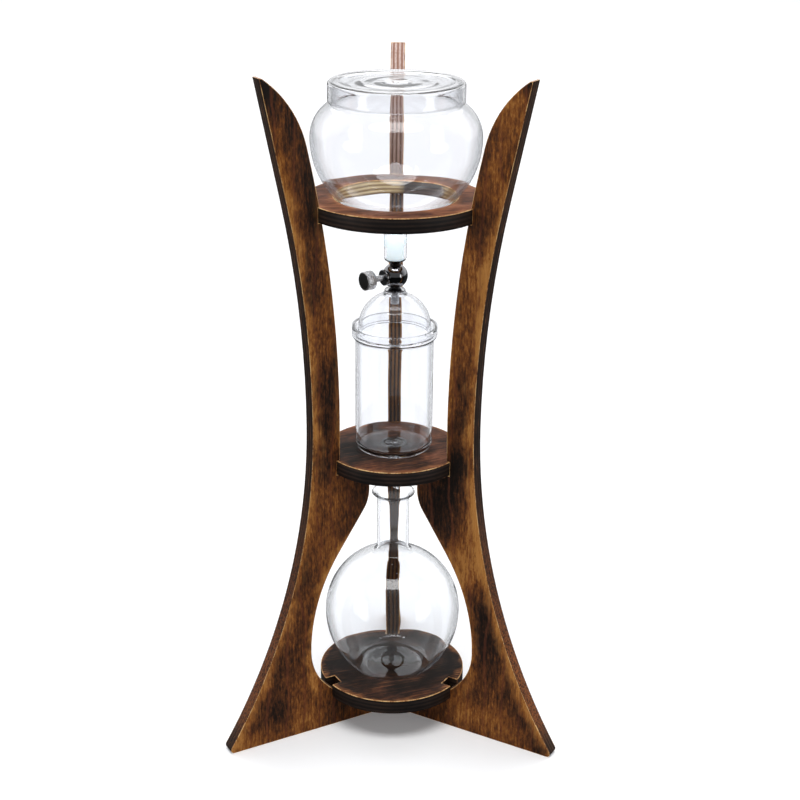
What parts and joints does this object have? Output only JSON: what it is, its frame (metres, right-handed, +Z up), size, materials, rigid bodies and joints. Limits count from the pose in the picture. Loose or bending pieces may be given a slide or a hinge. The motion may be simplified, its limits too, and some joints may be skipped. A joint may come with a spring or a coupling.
{
  "type": "cold drip coffee tower",
  "caption": "Plywood tower that holds a lidded glass globe with a needle drip valve, over a domed glass coffee cup that drains into a flask.",
  "frame": {"origin": "on the floor, on the tower's vertical axis, where the three boards' lower edges meet", "axes": "+Z up along the tower's axis; +Y towards the back board; +X to the right, seen from the front"},
  "size_m": [0.2634, 0.2281, 0.53],
  "materials": {
    "board": "flame-scorched plywood, oiled",
    "disc": "dark flame-scorched plywood",
    "clear_glass": "clear, polished",
    "silicone": "pale translucent silicone",
    "seal": "black nitrile",
    "valve_metal": "dark polished chrome",
    "stem_metal": "turned steel",
    "cap_plastic": "dark, smooth"
  },
  "bodies": {
    "stand": {"leg_left": "board", "leg_right": "board", "leg_back": "board", "top_ring": "disc", "middle_disc": "disc", "bottom_disc": "disc"},
    "flask": {"flask": "clear_glass"},
    "cup": {"coffee_cup": "clear_glass", "filter_disc": "clear_glass"},
    "dome": {"dome_cover": "clear_glass"},
    "globe": {"water_globe": "clear_glass", "outlet_stopper": "silicone", "valve_body": "valve_metal", "inlet_washer": "seal", "inlet_collar": "valve_metal", "nozzle_washer": "seal", "drip_nozzle": "valve_metal", "valve_bonnet": "valve_metal", "stem_seal": "seal"},
    "lid": {"globe_lid": "clear_glass"},
    "needle": {"needle_tip": "silicone"},
    "knob": {"valve_stem": "stem_metal", "valve_knob": "stem_metal", "knob_cap": "cap_plastic", "knob_screw": "stem_metal"}
  },
  "joints": [
    {"name": "flask_slide", "type": "slide", "parent": "stand", "child": "flask", "axis": [0, -1, 0], "range_m": [0, 0.18]},
    {"name": "cup_lift", "type": "slide", "parent": "stand", "child": "cup", "axis": [0, 0, 1], "range_m": [0, 0.25]},
    {"name": "dome_lift", "type": "slide", "parent": "cup", "child": "dome", "axis": [0, 0, 1], "range_m": [0, 0.04]},
    {"name": "globe_lift", "type": "slide", "parent": "dome", "child": "globe", "axis": [0, 0, 1], "range_m": [0, 0.1]},
    {"name": "lid_lift", "type": "slide", "parent": "globe", "child": "lid", "axis": [0, 0, 1], "range_m": [0, 0.06]},
    {"name": "needle_travel", "type": "slide", "parent": "globe", "child": "needle", "axis": [-0.8192, -0.5736, 0], "range_m": [0, 0.0035]},
    {"name": "knob_turn", "type": "hinge", "parent": "needle", "child": "knob", "pos_m": [0, 0, 0.373], "axis": [-0.8192, -0.5736, 0], "range_deg": [0, 1800]}
  ],
  "couplings": [
    {"joint": "needle_travel", "follows": "knob_turn", "m_per_rad": 0.00011141}
  ]
}
